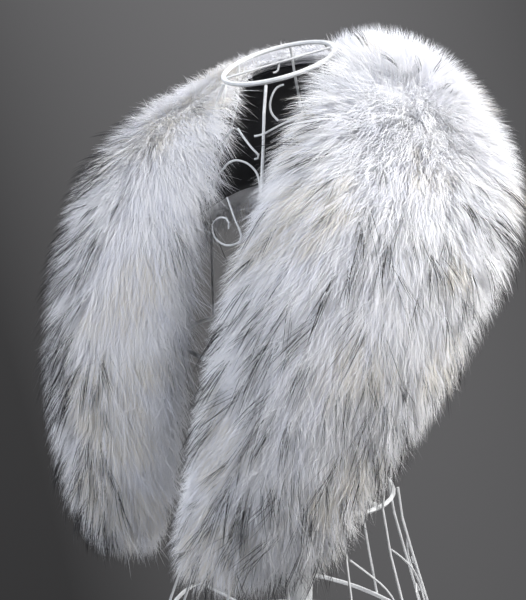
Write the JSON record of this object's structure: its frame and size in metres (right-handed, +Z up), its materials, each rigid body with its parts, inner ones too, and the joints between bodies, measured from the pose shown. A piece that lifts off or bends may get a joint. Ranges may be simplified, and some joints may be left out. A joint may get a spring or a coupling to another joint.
{
  "type": "fur collar wrap on a wire dress form",
  "caption": "Long-pile white fur shawl collar with black-tipped guard hairs and black satin lining, resting on a white scrolled wire dress form with pole and round base.",
  "frame": {"origin": "middle of the base plate's underside, on the pole's axis", "axes": "+Z up along the pole, the front faces -Y, and the wearer's left is +X"},
  "size_m": [0.5076, 0.4033, 0.8055],
  "materials": {
    "white_paint": "semi-gloss white paint on steel wire",
    "black_satin": "satin",
    "white_backing": "matt knit",
    "white_fur": "long soft pile with black-tipped guard hairs"
  },
  "bodies": {
    "root": {"neck_ring": "white_paint", "neck_bar": "white_paint", "neck_hook": "white_paint", "bust_ring": "white_paint", "waist_ring": "white_paint", "hip_hoop": "white_paint", "front_wire_left": "white_paint", "front_wire_right": "white_paint", "side_wire_left": "white_paint", "side_wire_right": "white_paint", "back_wire_left": "white_paint", "back_wire_right": "white_paint", "hip_wire_front_middle": "white_paint", "hip_wire_front_left": "white_paint", "hip_wire_back_left": "white_paint", "hip_wire_back_middle": "white_paint", "hip_wire_back_right": "white_paint", "hip_wire_front_right": "white_paint", "scroll_neck_left": "white_paint", "scroll_neck_right": "white_paint", "scroll_cross_left": "white_paint", "scroll_cross_right": "white_paint", "scroll_tail_left": "white_paint", "scroll_tail_right": "white_paint", "scroll_arch": "white_paint", "scroll_spiral": "white_paint", "scroll_hip_1_left": "white_paint", "scroll_hip_1_right": "white_paint", "scroll_hip_2_left": "white_paint", "scroll_hip_2_right": "white_paint", "scroll_hip_3_left": "white_paint", "scroll_hip_3_right": "white_paint", "waist_bar": "white_paint", "pole": "white_paint", "hip_spoke_left": "white_paint", "hip_spoke_right": "white_paint", "base_plate": "white_paint", "lining_left": "black_satin", "backing_left": "white_backing", "pile_left": "white_fur", "lining_right": "black_satin", "backing_right": "white_backing", "pile_right": "white_fur"}
  },
  "joints": []
}
